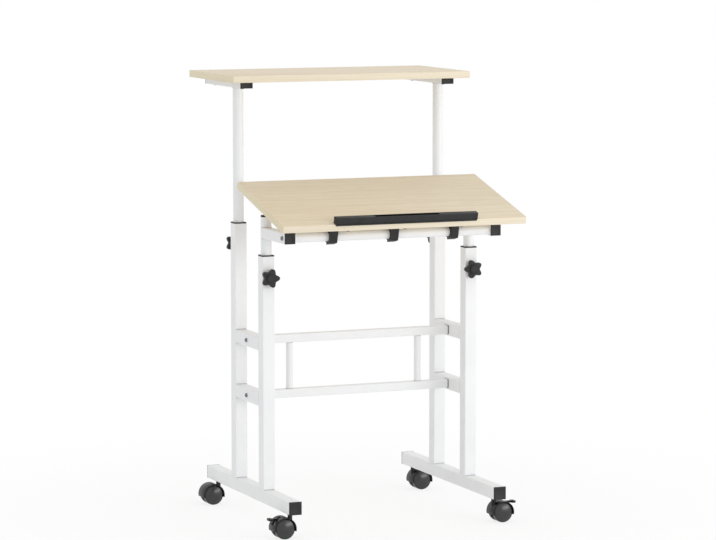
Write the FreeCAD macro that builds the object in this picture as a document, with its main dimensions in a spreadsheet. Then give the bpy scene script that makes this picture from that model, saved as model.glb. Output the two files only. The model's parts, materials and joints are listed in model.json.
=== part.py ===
import FreeCAD, Part
import os
import re

# Height-adjustable desk on casters: two side frames of square tube, round tubes that slide in the legs,
# a tilting desktop on the front tubes and a level shelf on the rear tubes.
# X runs across the desk, Y from front to back, Z up. The origin is on the floor under the middle.

doc = FreeCAD.newDocument("height_adjustable_desk")
sheet = doc.addObject("Spreadsheet::Sheet", "sizes")

# Driving sizes, in millimetres and degrees
driving = {
    # side frames
    "leg_pitch_across": 510,
    "leg_pitch_deep": 180,
    "leg_side": 30,
    "leg_wall": 1.5,
    "leg_corner": 2.5,
    "front_leg_top": 630,
    "rear_leg_top": 690,
    "foot_width": 30,
    "foot_height": 30,
    "foot_length": 543,
    "foot_wall": 1.5,
    "foot_lift": 58,
    "brace_height": 30,
    "lower_brace_middle": 296,
    "upper_brace_middle": 425.5,
    # cross frame
    "beam_side": 20,
    "beam_wall": 1.5,
    "beam_corner": 2,
    "rod_spread": 326,
    "rod_diameter": 16,
    "insert_length": 22,
    "insert_flange": 2,
    # leg collars and inner tubes
    "collar_side": 30,
    "collar_flange": 3,
    "collar_depth": 22,
    "tube_diameter": 25,
    "tube_wall": 1.5,
    "front_tube_length": 520,
    "rear_tube_length": 560,
    "guide_height": 20,
    "guide_spigot": 15,
    # black end caps of the square tubes
    "cap_flange": 3,
    "cap_plug": 14,
    "cap_wall": 2.5,
    # shelf
    "shelf_width": 600,
    "shelf_depth": 300,
    "shelf_thickness": 16,
    "shelf_height": 1039,
    "shelf_arm_width": 30,
    "shelf_arm_height": 15,
    "shelf_arm_wall": 1.5,
    "shelf_arm_inset": 30,
    "board_corner": 3,
    # arms and rail that carry the desktop
    "desk_arm_side": 25,
    "desk_arm_wall": 1.5,
    "desk_arm_reach": 152,
    "desk_arm_cope": 5,
    "rail_reach": 135,
    "rail_height": 684,
    "rail_diameter": 22,
    "rail_wall": 1.5,
    "plug_flange": 4,
    # desktop
    "desk_width": 600,
    "desk_depth": 300,
    "desk_thickness": 16,
    "desk_front": 76,
    "desk_tilt": 15,
    "top_gap": 3,
    "clip_height": 41,
    "clip_width": 18,
    "clip_spread": 150,
    "clip_front": 20,
    "clip_face": 9,
    "clip_wall": 4.5,
    "clip_foot": 9,
    "clip_flange": 28,
    "clip_rib": 8,
    "clip_lip": 22,
    "clip_lip_wall": 3.5,
    "clip_lip_drop": 28,
    "stop_length": 350,
    "stop_height": 16,
    "stop_depth": 15,
    "stop_lip": 3,
    "stop_corner": 2,
    "stop_screw_spread": 140,
    # fasteners
    "bolt_diameter": 6,
    "bolt_head": 10,
    "bolt_head_height": 3.5,
    "bolt_socket": 4,
    "screw_diameter": 4,
    "screw_head": 8,
    "screw_head_height": 2.5,
    "screw_bite": 11,
    "screw_inset": 30,
    "clip_screw_offset": 4.4,
    "clip_screw_back": 18,
    # clamp knobs
    "knob_drop": 49,
    "knob_diameter": 44,
    "knob_core": 31,
    "knob_lobe": 13,
    "knob_height": 12,
    "knob_crown": 23,
    "knob_crown_height": 4,
    "stud_diameter": 8,
    "stud_bite": 9,
    "nut_width": 15,
    "nut_height": 6,
    # casters
    "stem_inset": 36,
    "stem_diameter": 8,
    "stem_collar": 11,
    "stem_collar_height": 1.4,
    "caster_trail": 17.5,
    "caster_width": 46,
    "caster_web": 14,
    "caster_hub": 30,
    "wheel_diameter": 47,
    "wheel_dome": 6,
    "hood_width": 41,
    "hood_thickness": 2,
    "hood_rim": 18,
    "neck_diameter": 11,
    "axle_diameter": 6,
    "axle_cover": 3.6,
    "lever_pivot_out": 30,
    "lever_pivot_up": 40.5,
    "lever_pin": 4,
    "lever_slot_foot": 32,
    "lever_width": 8,
    "lever_paddle": 19,
    "lever_reach": 53.5,
    "lever_thickness": 4.5,
    "lever_rise": 2.5,
    # clearances
    "fit_gap": 0.1,
    "slide_gap": 0.1,
    "run_gap": 0.08,
    "guide_gap": 0.3,
    "hole_gap": 0.3,
    "wheel_gap": 0.8,
    "rest_gap": 0.4,
}

# Sizes and places worked out from the driving ones
derived = {
    "half_across": "leg_pitch_across / 2",
    "half_leg": "leg_side / 2",
    "foot_top": "foot_lift + foot_height",
    "tube_radius": "tube_diameter / 2",
    "rail_radius": "rail_diameter / 2",
    "bolt_radius": "bolt_diameter / 2",
    "screw_radius": "screw_diameter / 2",
    "desk_rear": "desk_depth - desk_front",
    "desk_top": "clip_height + desk_thickness",
    "front_reach": "leg_pitch_deep / 2 + rail_reach + (desk_front + stop_lip) * cos(desk_tilt)"
                   " + (desk_top + stop_height) * sin(desk_tilt)",
    "rear_reach": "desk_rear + top_gap + shelf_depth - leg_pitch_deep / 2 - rail_reach",
    "base_y": "(front_reach - rear_reach) / 2",
    "front_leg_y": "base_y - leg_pitch_deep / 2",
    "rear_leg_y": "base_y + leg_pitch_deep / 2",
    "stem_y": "foot_length / 2 - stem_inset",
    "rail_y": "front_leg_y - rail_reach",
    "arm_front_y": "front_leg_y - desk_arm_reach",
    "desk_cap_plug": "desk_arm_reach - rail_reach - cap_flange - bolt_diameter",
    "shelf_front_y": "rail_y + desk_rear + top_gap",
    "shelf_rear_y": "shelf_front_y + shelf_depth",
    "shelf_under": "shelf_height - shelf_thickness",
    "shelf_arm_under": "shelf_under - shelf_arm_height",
    "rear_tube_foot": "shelf_arm_under - rear_tube_length",
    "front_tube_top": "rail_height + clip_height - rest_gap - plug_flange",
    "front_tube_foot": "front_tube_top - front_tube_length",
    "knob_lobe_circle": "(knob_diameter - knob_lobe) / 2",
    "knob_seat": "nut_height + hole_gap",
    "stud_tip": "half_leg - tube_radius - run_gap",
    "stud_radius": "stud_diameter / 2",
    "stem_radius": "stem_diameter / 2",
    "neck_top": "foot_lift - stem_collar_height - hole_gap",
    "wheel_radius": "wheel_diameter / 2",
    "wheel_space": "wheel_radius + wheel_gap",
    "hood_radius": "wheel_space + hood_thickness",
    "wheel_inner": "caster_web / 2 + wheel_gap / 2",
    "wheel_width": "caster_width / 2 - wheel_inner",
    "dome_radius": "(wheel_radius ^ 2 + wheel_dome ^ 2) / (2 * wheel_dome)",
    "axle_reach": "caster_width / 2 - axle_cover",
    "stem_foot": "wheel_radius + axle_diameter",
}

known = list(driving) + list(derived)
for row, (alias, value) in enumerate(list(driving.items()) + list(derived.items()), start=1):
    sheet.set(f"A{row}", alias)
    sheet.set(f"B{row}", "=" + value if alias in derived else str(value))
    sheet.setAlias(f"B{row}", alias)
doc.recompute()

sides = {"left": -1, "right": 1}
ends = {"front": -1, "rear": 1}
nodes = []

along = {
    "x": FreeCAD.Rotation(FreeCAD.Vector(0, 1, 0), 90),
    "y": FreeCAD.Rotation(FreeCAD.Vector(1, 0, 0), -90),
    "z": FreeCAD.Rotation(),
}


def on_sheet(formula):
    """A formula in plain size names, pointed at the spreadsheet's cells."""
    return re.sub(r"[a-z_]+", lambda word: "sizes." + word[0] if word[0] in known else word[0], formula)


def bind(thing, **formulas):
    for name, formula in formulas.items():
        thing.setExpression(name, on_sheet(formula))


def put(thing, x="0", y="0", z="0", turn=None):
    """Place an object by formulas, with an optional fixed turn."""
    if turn is not None:
        thing.Placement = FreeCAD.Placement(FreeCAD.Vector(), turn)
    for name, formula in (("x", x), ("y", y), ("z", z)):
        thing.setExpression(f"Placement.Base.{name}", on_sheet(formula))
    return thing


def block(x, y, z, length, width, height):
    """A box with its low corner at x, y, z."""
    box = doc.addObject("Part::Box", "block")
    bind(box, Length=length, Width=width, Height=height)
    return put(box, x, y, z)


def drum(axis, x, y, z, radius, height):
    """A cylinder that starts at x, y, z and runs along an axis."""
    cylinder = doc.addObject("Part::Cylinder", "drum")
    bind(cylinder, Radius=radius, Height=height)
    return put(cylinder, x, y, z, along[axis])


def joined(*pieces):
    fusion = doc.addObject("Part::MultiFuse", "joined")
    fusion.Shapes = list(pieces)
    fusion.Refine = True
    return fusion


def less(piece, *tools):
    """A piece with tools cut away."""
    result = doc.addObject("Part::Cut", "less")
    result.Base = piece
    result.Tool = tools[0] if len(tools) == 1 else joined(*tools)
    return result


def group(pieces):
    bundle = doc.addObject("Part::Compound", "group")
    bundle.Links = pieces
    return bundle


def node(label, piece):
    """Name a finished sub-part, which names its file too."""
    piece.Label = label
    nodes.append(piece)
    return piece


def on_desktop(piece):
    """Turn a piece from the desktop's own frame, about the rail's axis, to its tilted place."""
    put(piece, "0", "rail_y", "rail_height", FreeCAD.Rotation(FreeCAD.Vector(1, 0, 0), 45))
    piece.setExpression("Placement.Rotation.Angle", on_sheet("desk_tilt"))
    return piece


def add_box(body, kind, x, y, z, length, width, height):
    feature = body.newObject(f"PartDesign::{kind}Box", kind.lower())
    bind(feature, Length=length, Width=width, Height=height)
    put(feature, x, y, z)
    body.Tip = feature
    return feature


def drill(body, axis, x, y, z, radius, depth):
    hole = body.newObject("PartDesign::SubtractiveCylinder", "hole")
    bind(hole, Radius=radius, Height=depth)
    put(hole, x, y, z, along[axis])
    body.Tip = hole


def rounded_block(label, run, corner, *place_and_size):
    """A solid block whose edges along one axis are rounded."""
    body = doc.addObject("PartDesign::Body", label)
    outside = add_box(body, "Additive", *place_and_size)
    doc.recompute()
    edges = [
        f"Edge{number}"
        for number, edge in enumerate(outside.Shape.Edges, start=1)
        if abs(getattr(edge.tangentAt(edge.FirstParameter), run)) > 0.99
    ]
    rounding = body.newObject("PartDesign::Fillet", "rounding")
    rounding.Base = (outside, edges)
    bind(rounding, Radius=corner)
    body.Tip = rounding
    return body


def square_tube(label, run, wall, corner, x, y, z, length, width, height):
    """A rounded rectangular tube that runs along one axis, open at both ends."""
    body = rounded_block(label, run, corner, x, y, z, length, width, height)
    low = {"x": x, "y": y, "z": z}
    size = {"x": length, "y": width, "z": height}
    for axis in "xyz":
        if axis != run:
            low[axis] = f"{low[axis]} + {wall}"
            size[axis] = f"{size[axis]} - 2 * {wall}"
    add_box(body, "Subtractive", *low.values(), *size.values())
    return body


def end_cap(middle_x, face_y, low_z, width, height, wall, way, reach="cap_plug"):
    """A tube's end cap: a flange at the outer face, and a hollow plug that reaches into the tube."""
    flange_y = face_y if way < 0 else f"{face_y} - cap_flange"
    plug_y = f"{face_y} + cap_flange" if way < 0 else f"{face_y} - cap_flange - {reach}"
    edge = f"{wall} + fit_gap"
    inner = f"{edge} + cap_wall"
    flange = block(f"{middle_x} - {width} / 2", flange_y, low_z, width, "cap_flange", height)
    plug = block(
        f"{middle_x} - {width} / 2 + {edge}", plug_y, f"{low_z} + {edge}",
        f"{width} - 2 * ({edge})", reach, f"{height} - 2 * ({edge})",
    )
    hollow = block(
        f"{middle_x} - {width} / 2 + {inner}", plug_y, f"{low_z} + {inner}",
        f"{width} - 2 * ({inner})", reach, f"{height} - 2 * ({inner})",
    )
    return joined(flange, less(plug, hollow))


def round_tube(x, y, z, length):
    outside = drum("z", x, y, z, "tube_radius", length)
    inside = drum("z", x, y, z, "tube_radius - tube_wall", length)
    return less(outside, inside)


def tube_guide(x, y, tube_foot):
    """A plastic foot of an inner tube: a square block that runs in the leg, and a spigot in the tube."""
    side = "leg_side - 2 * leg_wall - 2 * guide_gap"
    shoe = block(
        f"{x} - ({side}) / 2", f"{y} - ({side}) / 2", f"{tube_foot} - guide_height",
        side, side, "guide_height",
    )
    spigot = drum("z", x, y, tube_foot, "tube_radius - tube_wall - fit_gap", "guide_spigot")
    return joined(shoe, spigot)


def hex_nut(x, y, z, width, height, bore, turn):
    prism = doc.addObject("Part::Prism", "hexagon")
    prism.Polygon = 6
    bind(prism, Circumradius=f"{width} / 2 / cos(30)", Height=height)
    hole = doc.addObject("Part::Cylinder", "thread")
    bind(hole, Radius=bore, Height=height)
    return put(less(prism, hole), x, y, z, turn)


def bolt_across(sign, face_x, y, z, length):
    """A button-head bolt along X, with its head on the outer face at face_x from the middle."""
    head_x = f"-({face_x}) - bolt_head_height" if sign < 0 else f"{face_x}"
    shank_x = f"-({face_x})" if sign < 0 else f"{face_x} - ({length})"
    socket_x = f"-({face_x}) - bolt_head_height" if sign < 0 else f"{face_x} + bolt_head_height / 2"
    head = drum("x", head_x, y, z, "bolt_head / 2", "bolt_head_height")
    shank = drum("x", shank_x, y, z, "bolt_radius", length)
    socket = drum("x", socket_x, y, z, "bolt_socket / 2", "bolt_head_height / 2")
    return less(joined(head, shank), socket)


def wood_screw(x, y, face_z, length):
    """A screw that points up, with its head against a face from below."""
    head = drum("z", x, y, f"{face_z} - screw_head_height", "screw_head / 2", "screw_head_height")
    shank = drum("z", x, y, face_z, "screw_radius", length)
    return joined(head, shank)


# Foot bars, with a hole under each end for a caster's stem
foot_caps = []
stems = []
stem_nuts = []
for side, sign in sides.items():
    leg_x = f"{sign} * half_across"
    foot = square_tube(
        f"{side}_foot_bar", "y", "foot_wall", "leg_corner",
        f"{leg_x} - foot_width / 2", "base_y - foot_length / 2 + cap_flange", "foot_lift",
        "foot_width", "foot_length - 2 * cap_flange", "foot_height",
    )
    for way in ends.values():
        stem_at = f"base_y + {way} * stem_y"
        drill(foot, "z", leg_x, stem_at, "foot_lift - foot_wall", "stem_radius + hole_gap", "3 * foot_wall")
        foot_caps.append(end_cap(
            leg_x, f"base_y + {way} * foot_length / 2", "foot_lift",
            "foot_width", "foot_height", "foot_wall", way,
        ))
        shaft = drum(
            "z", leg_x, stem_at, "stem_foot",
            "stem_radius", "foot_lift + foot_wall + nut_height + stem_collar_height - stem_foot",
        )
        collar = drum(
            "z", leg_x, stem_at, "foot_lift - stem_collar_height", "stem_collar / 2", "stem_collar_height"
        )
        stems.append(joined(shaft, collar))
        stem_nuts.append(hex_nut(
            leg_x, stem_at, "foot_lift + foot_wall",
            "nut_width", "nut_height", "stem_radius + run_gap", along["z"],
        ))
    node(f"{side}_foot_bar", foot)
node("foot_end_caps", group(foot_caps))
node("caster_stems", group(stems))
node("caster_stem_nuts", group(stem_nuts))

# Legs, each with a collar at its top and a weld nut for the knob's stud
collars = []
knob_nuts = []
for side, sign in sides.items():
    leg_x = f"{sign} * half_across"
    for end, way in ends.items():
        leg_y = f"{end}_leg_y"
        leg_top = f"{end}_leg_top"
        leg = square_tube(
            f"{side}_{end}_leg", "z", "leg_wall", "leg_corner",
            f"{leg_x} - half_leg", f"{leg_y} - half_leg", "foot_top",
            "leg_side", "leg_side", f"{leg_top} - foot_top",
        )
        wall_y = f"{leg_y} - half_leg - leg_wall" if way < 0 else f"{leg_y} + half_leg - 2 * leg_wall"
        drill(leg, "y", leg_x, wall_y, f"{leg_top} - knob_drop", "stud_radius + hole_gap", "3 * leg_wall")
        node(f"{side}_{end}_leg", leg)

        plug_side = "leg_side - 2 * leg_wall - 2 * fit_gap"
        flange = block(
            f"{leg_x} - collar_side / 2", f"{leg_y} - collar_side / 2", leg_top,
            "collar_side", "collar_side", "collar_flange",
        )
        plug = block(
            f"{leg_x} - ({plug_side}) / 2", f"{leg_y} - ({plug_side}) / 2", f"{leg_top} - collar_depth",
            plug_side, plug_side, "collar_depth",
        )
        bore = drum(
            "z", leg_x, leg_y, f"{leg_top} - collar_depth",
            "tube_radius + slide_gap", "collar_depth + collar_flange",
        )
        collars.append(less(joined(flange, plug), bore))
        knob_nuts.append(hex_nut(
            leg_x, f"{leg_y} + {way} * half_leg", f"{leg_top} - knob_drop", "nut_width", "nut_height",
            "stud_radius + run_gap", FreeCAD.Rotation(FreeCAD.Vector(1, 0, 0), -90 * way),
        ))
node("leg_collars", group(collars))
node("knob_weld_nuts", group(knob_nuts))

# Side braces between the legs, and the cross beams that bolt to them
levels = {"lower": "lower_brace_middle", "upper": "upper_brace_middle"}
beam_bolts = []
beam_inserts = []
for side, sign in sides.items():
    braces = []
    for level, middle in levels.items():
        brace = square_tube(
            f"{side}_{level}_brace", "y", "leg_wall", "leg_corner",
            f"{sign} * half_across - half_leg", "front_leg_y + half_leg", f"{middle} - brace_height / 2",
            "leg_side", "leg_pitch_deep - leg_side", "brace_height",
        )
        drill(
            brace, "x", f"{sign} * half_across - half_leg - leg_wall", "base_y", middle,
            "bolt_radius + hole_gap", "leg_side + 2 * leg_wall",
        )
        braces.append(brace)
        beam_bolts.append(bolt_across(
            sign, "half_across + half_leg", "base_y", middle, "leg_side + insert_length"
        ))
        insert_side = "beam_side - 2 * beam_wall - 2 * fit_gap"
        brace_face = f"{sign} * (half_across - half_leg)"
        insert_x = brace_face + (" - insert_length" if sign > 0 else "")
        flange_x = brace_face + (" - insert_flange" if sign > 0 else "")
        insert = block(
            insert_x, f"base_y - ({insert_side}) / 2", f"{middle} - ({insert_side}) / 2",
            "insert_length", insert_side, insert_side,
        )
        flange = block(
            flange_x, "base_y - beam_side / 2", f"{middle} - beam_side / 2",
            "insert_flange", "beam_side", "beam_side",
        )
        thread = drum("x", insert_x, "base_y", middle, "bolt_radius + run_gap", "insert_length")
        beam_inserts.append(less(joined(insert, flange), thread))
    node(f"{side}_side_braces", group(braces))
for level, middle in levels.items():
    node(f"{level}_cross_beam", square_tube(
        f"{level}_cross_beam", "x", "beam_wall", "beam_corner",
        "half_leg - half_across + insert_flange", "base_y - beam_side / 2", f"{middle} - beam_side / 2",
        "leg_pitch_across - leg_side - 2 * insert_flange", "beam_side", "beam_side",
    ))
node("cross_beam_bolts", group(beam_bolts))
node("cross_beam_inserts", group(beam_inserts))
node("cross_rods", group([
    drum(
        "z", f"{sign} * rod_spread / 2", "base_y", "lower_brace_middle + beam_side / 2",
        "rod_diameter / 2", "upper_brace_middle - lower_brace_middle - beam_side",
    )
    for sign in sides.values()
]))

# Rear tubes, shelf arms and shelf
shelf_screw_rows = (
    "shelf_front_y + shelf_arm_inset + screw_inset",
    "shelf_rear_y - shelf_arm_inset - screw_inset",
)
shelf = rounded_block(
    "shelf_panel", "z", "board_corner",
    "-shelf_width / 2", "shelf_front_y", "shelf_under", "shelf_width", "shelf_depth", "shelf_thickness",
)
shelf_caps = []
shelf_screws = []
for side, sign in sides.items():
    leg_x = f"{sign} * half_across"
    node(f"{side}_rear_tube", round_tube(leg_x, "rear_leg_y", "rear_tube_foot", "rear_tube_length"))
    arm = square_tube(
        f"{side}_shelf_arm", "y", "shelf_arm_wall", "shelf_arm_wall",
        f"{leg_x} - shelf_arm_width / 2", "shelf_front_y + shelf_arm_inset + cap_flange", "shelf_arm_under",
        "shelf_arm_width", "shelf_depth - 2 * (shelf_arm_inset + cap_flange)", "shelf_arm_height",
    )
    for face_y, way in (("shelf_front_y + shelf_arm_inset", -1), ("shelf_rear_y - shelf_arm_inset", 1)):
        shelf_caps.append(end_cap(
            leg_x, face_y, "shelf_arm_under", "shelf_arm_width", "shelf_arm_height", "shelf_arm_wall", way
        ))
    for row_y in shelf_screw_rows:
        shelf_screws.append(wood_screw(leg_x, row_y, "shelf_arm_under", "shelf_arm_height + screw_bite"))
        drill(
            arm, "z", leg_x, row_y, "shelf_arm_under - shelf_arm_wall",
            "screw_radius + hole_gap", "shelf_arm_height + 2 * shelf_arm_wall",
        )
        drill(shelf, "z", leg_x, row_y, "shelf_under", "screw_radius + fit_gap", "screw_bite + fit_gap")
    node(f"{side}_shelf_arm", arm)
node("shelf_panel", shelf)
node("shelf_arm_caps", group(shelf_caps))
node("shelf_screws", group(shelf_screws))
node("rear_tube_guides", group([
    tube_guide(f"{sign} * half_across", "rear_leg_y", "rear_tube_foot") for sign in sides.values()
]))

# Front tubes, desk arms and the rail that the desktop tilts on
desk_caps = []
tube_plugs = []
rail_bolts = []
rail_inserts = []
rail_end = "half_across - desk_arm_side / 2"
for side, sign in sides.items():
    leg_x = f"{sign} * half_across"
    arm_low_z = "rail_height - desk_arm_side / 2"
    node(f"{side}_front_tube", round_tube(leg_x, "front_leg_y", "front_tube_foot", "front_tube_length"))
    arm = square_tube(
        f"{side}_desk_arm", "y", "desk_arm_wall", "beam_corner",
        f"{leg_x} - desk_arm_side / 2", "arm_front_y + cap_flange", arm_low_z,
        "desk_arm_side", "desk_arm_reach - cap_flange - desk_arm_cope", "desk_arm_side",
    )
    drill(arm, "z", leg_x, "front_leg_y", arm_low_z, "tube_radius", "desk_arm_side")
    drill(
        arm, "x", f"{leg_x} - desk_arm_side / 2 - desk_arm_wall", "rail_y", "rail_height",
        "bolt_radius + hole_gap", "desk_arm_side + 2 * desk_arm_wall",
    )
    node(f"{side}_desk_arm", arm)
    desk_caps.append(end_cap(
        leg_x, "arm_front_y", arm_low_z,
        "desk_arm_side", "desk_arm_side", "desk_arm_wall", -1, "desk_cap_plug",
    ))
    flange = drum("z", leg_x, "front_leg_y", "front_tube_top", "tube_radius", "plug_flange")
    spigot = drum(
        "z", leg_x, "front_leg_y", "front_tube_top - guide_spigot",
        "tube_radius - tube_wall - fit_gap", "guide_spigot",
    )
    tube_plugs.append(joined(flange, spigot))
    rail_bolts.append(bolt_across(
        sign, "half_across + desk_arm_side / 2", "rail_y", "rail_height", "desk_arm_side + insert_length"
    ))
    insert_x = f"{sign} * ({rail_end})" + (" - insert_length" if sign > 0 else "")
    insert = drum(
        "x", insert_x, "rail_y", "rail_height", "rail_radius - rail_wall - fit_gap", "insert_length"
    )
    thread = drum("x", insert_x, "rail_y", "rail_height", "bolt_radius + run_gap", "insert_length")
    rail_inserts.append(less(insert, thread))
rail_start = ("x", f"-({rail_end})", "rail_y", "rail_height")
node("tilt_rail", less(
    drum(*rail_start, "rail_radius", f"2 * ({rail_end})"),
    drum(*rail_start, "rail_radius - rail_wall", f"2 * ({rail_end})"),
))
node("desk_arm_caps", group(desk_caps))
node("front_tube_plugs", group(tube_plugs))
node("tilt_rail_bolts", group(rail_bolts))
node("tilt_rail_inserts", group(rail_inserts))
node("front_tube_guides", group([
    tube_guide(f"{sign} * half_across", "front_leg_y", "front_tube_foot") for sign in sides.values()
]))

# Desktop, in its own frame: the rail's axis is X, Y runs back along the board and Z square to it
desktop = rounded_block(
    "desktop_panel", "z", "board_corner",
    "-desk_width / 2", "-desk_front", "clip_height", "desk_width", "desk_depth", "desk_thickness",
)
clips = []
clip_screws = []
for number in (-1, 0, 1):
    middle = f"{number} * clip_spread"
    low_x = f"{middle} - clip_width / 2"
    face = block(low_x, "-clip_front", "-clip_foot", "clip_width", "clip_face", "clip_height + clip_foot")
    eye = drum("x", low_x, "0", "0", "rail_radius + clip_wall", "clip_width")
    bridge = block(low_x, "-clip_front", "-rail_radius / 2", "clip_width", "clip_front", "rail_radius")
    seat = block(
        low_x, "-clip_front", "clip_height - clip_wall", "clip_width", "clip_front + clip_flange", "clip_wall"
    )
    rib = block(
        f"{middle} - clip_rib / 2", "-clip_front", "0", "clip_rib", "clip_front + clip_wall", "clip_height"
    )
    lip = put(
        block("0", "0", "0", "clip_width", "clip_lip", "clip_lip_wall"),
        low_x, "-clip_front", "-clip_foot", FreeCAD.Rotation(FreeCAD.Vector(-1, 0, 0), 45),
    )
    lip.setExpression("Placement.Rotation.Angle", on_sheet("clip_lip_drop"))
    cuts = [drum("x", low_x, "0", "0", "rail_radius + run_gap", "clip_width")]
    for way in (-1, 1):
        screw_x = f"{middle} + {way} * clip_screw_offset"
        cuts.append(drum(
            "z", screw_x, "clip_screw_back", "clip_height - clip_wall", "screw_radius + hole_gap", "clip_wall"
        ))
        clip_screws.append(wood_screw(
            screw_x, "clip_screw_back", "clip_height - clip_wall", "clip_wall + screw_bite"
        ))
        drill(
            desktop, "z", screw_x, "clip_screw_back", "clip_height",
            "screw_radius + fit_gap", "screw_bite + fit_gap",
        )
    clips.append(less(joined(face, eye, bridge, seat, rib, lip), *cuts))

stop_y = "-desk_front - stop_lip"
stop_bar = rounded_block(
    "stop_bar", "z", "stop_corner",
    "-stop_length / 2", stop_y, "desk_top", "stop_length", "stop_depth", "stop_height",
)
add_box(
    stop_bar, "Additive",
    "-stop_length / 2 + stop_corner", stop_y, "desk_top - stop_lip",
    "stop_length - 2 * stop_corner", "stop_lip", "2 * stop_lip",
)
stop_screws = []
stop_screw_y = "-desk_front + (stop_depth - stop_lip) / 2"
for number in (-1, 0, 1):
    screw_x = f"{number} * stop_screw_spread"
    stop_screws.append(wood_screw(screw_x, stop_screw_y, "clip_height", "desk_thickness + screw_bite"))
    drill(desktop, "z", screw_x, stop_screw_y, "clip_height", "screw_radius + fit_gap", "desk_thickness")
    drill(stop_bar, "z", screw_x, stop_screw_y, "desk_top", "screw_radius + fit_gap", "screw_bite + fit_gap")
for label, piece in {
    "desktop_panel": desktop,
    "tilt_clips": group(clips),
    "clip_screws": group(clip_screws),
    "stop_bar": stop_bar,
    "stop_bar_screws": group(stop_screws),
}.items():
    node(label, on_desktop(piece))


def star_knob(first_lobe):
    """A five-lobed knob with its moulded-in stud, along Z, with the leg's face at zero."""
    grip = [drum("z", "0", "0", "knob_seat", "knob_core / 2", "knob_height")]
    for lobe in range(5):
        angle = first_lobe + 72 * lobe
        grip.append(drum(
            "z", f"knob_lobe_circle * cos({angle})", f"knob_lobe_circle * sin({angle})", "knob_seat",
            "knob_lobe / 2", "knob_height",
        ))
    grip.append(drum("z", "0", "0", "knob_seat + knob_height", "knob_crown / 2", "knob_crown_height"))
    socket = drum("z", "0", "0", "knob_seat", "stud_radius", "stud_bite")
    stud = drum("z", "0", "0", "-stud_tip", "stud_radius", "stud_tip + knob_seat + stud_bite")
    return group([less(joined(*grip), socket), stud])


for side, sign in sides.items():
    for end, way in ends.items():
        knob = node(f"{side}_{end}_knob", star_knob(0 if sign < 0 else 180))
        put(
            knob, f"{sign} * half_across",
            f"{end}_leg_y + {way} * half_leg", f"{end}_leg_top - knob_drop",
            FreeCAD.Rotation(FreeCAD.Vector(1, 0, 0), -90 * way),
        )


def caster_hood(has_brake):
    """A caster's hood in its own frame: the stem is at the origin and the wheels trail along +X."""
    cover = less(
        drum("y", "caster_trail", "-hood_width / 2", "wheel_radius", "hood_radius", "hood_width"),
        block(
            "caster_trail - hood_radius", "-hood_width / 2", "wheel_radius - hood_radius",
            "2 * hood_radius", "hood_width", "hood_rim - wheel_radius + hood_radius",
        ),
    )
    web = drum("y", "caster_trail", "-caster_web / 2", "wheel_radius", "caster_hub / 2", "caster_web")
    neck = drum("z", "0", "0", "hood_rim", "neck_diameter / 2", "neck_top - hood_rim")
    cuts = [
        drum("y", "caster_trail", "caster_web / 2", "wheel_radius", "wheel_space", "hood_width"),
        drum(
            "y", "caster_trail", "-caster_web / 2 - hood_width", "wheel_radius", "wheel_space", "hood_width"
        ),
        drum("y", "caster_trail", "-caster_web / 2", "wheel_radius", "axle_diameter / 2", "caster_web"),
        drum("z", "0", "0", "stem_foot - hole_gap", "stem_radius + run_gap", "foot_lift"),
    ]
    if has_brake:
        slot = "lever_width / 2 + hole_gap"
        cuts.append(block(
            "lever_pivot_out - lever_width", f"-({slot})", "lever_slot_foot",
            "caster_trail + hood_radius", f"2 * ({slot})", "foot_lift",
        ))
        cuts.append(drum(
            "y", "lever_pivot_out", "-caster_web / 2", "lever_pivot_up",
            "lever_pin / 2 + run_gap", "caster_web",
        ))
    return less(joined(cover, web, neck), *cuts)


def caster_wheel(way):
    """One of a caster's two wheels: a plain tread, a domed outer face and a blind bore."""
    tread = drum("z", "0", "0", "0", "wheel_radius", "wheel_width")
    dome = doc.addObject("Part::Sphere", "dome")
    bind(dome, Radius="dome_radius")
    put(dome, z="wheel_width - dome_radius")
    disc = doc.addObject("Part::Common", "disc")
    disc.Base = tread
    disc.Tool = dome
    bore = drum(
        "z", "0", "0", "0", "axle_diameter / 2 + run_gap", "axle_reach - wheel_inner + hole_gap"
    )
    return put(
        less(disc, bore), "caster_trail", f"{way} * wheel_inner", "wheel_radius",
        FreeCAD.Rotation(FreeCAD.Vector(1, 0, 0), -90 * way),
    )


def brake_lever():
    """A brake lever on two stub pins, with a paddle that stands out past the hood."""
    under = "lever_pivot_up + lever_rise"
    tang = block(
        "lever_pivot_out - lever_thickness", "-lever_width / 2", "lever_pivot_up - lever_thickness",
        "lever_width", "lever_width", "2 * lever_thickness + lever_rise",
    )
    shank = block(
        "lever_pivot_out", "-lever_width / 2", under,
        "lever_reach - lever_pivot_out", "lever_width", "lever_thickness",
    )
    paddle = block(
        "lever_reach - lever_paddle / 2", "-lever_paddle / 2", under,
        "lever_paddle / 2", "lever_paddle", "lever_thickness",
    )
    pin = drum("y", "lever_pivot_out", "-caster_web / 2", "lever_pivot_up", "lever_pin / 2", "caster_web")
    return joined(tang, shank, paddle, pin)


# Casters: the left pair trails to the left, the right pair to the right, and the front pair has brakes
for side, sign in sides.items():
    for end, way in ends.items():
        name = f"{side}_{end}_caster"
        has_brake = end == "front"
        pieces = {
            f"{name}_hood": caster_hood(has_brake),
            f"{name}_axle": drum(
                "y", "caster_trail", "-axle_reach", "wheel_radius", "axle_diameter / 2", "2 * axle_reach"
            ),
            f"{name}_wheels": group([caster_wheel(-1), caster_wheel(1)]),
        }
        if has_brake:
            pieces[f"{side}_brake_lever"] = brake_lever()
        heading = FreeCAD.Rotation(FreeCAD.Vector(0, 0, 1), 0 if sign > 0 else 180)
        for label, piece in pieces.items():
            placed = group([piece])
            put(placed, f"{sign} * half_across", f"base_y + {way} * stem_y", "0", heading)
            node(label, placed)

doc.recompute()

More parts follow.
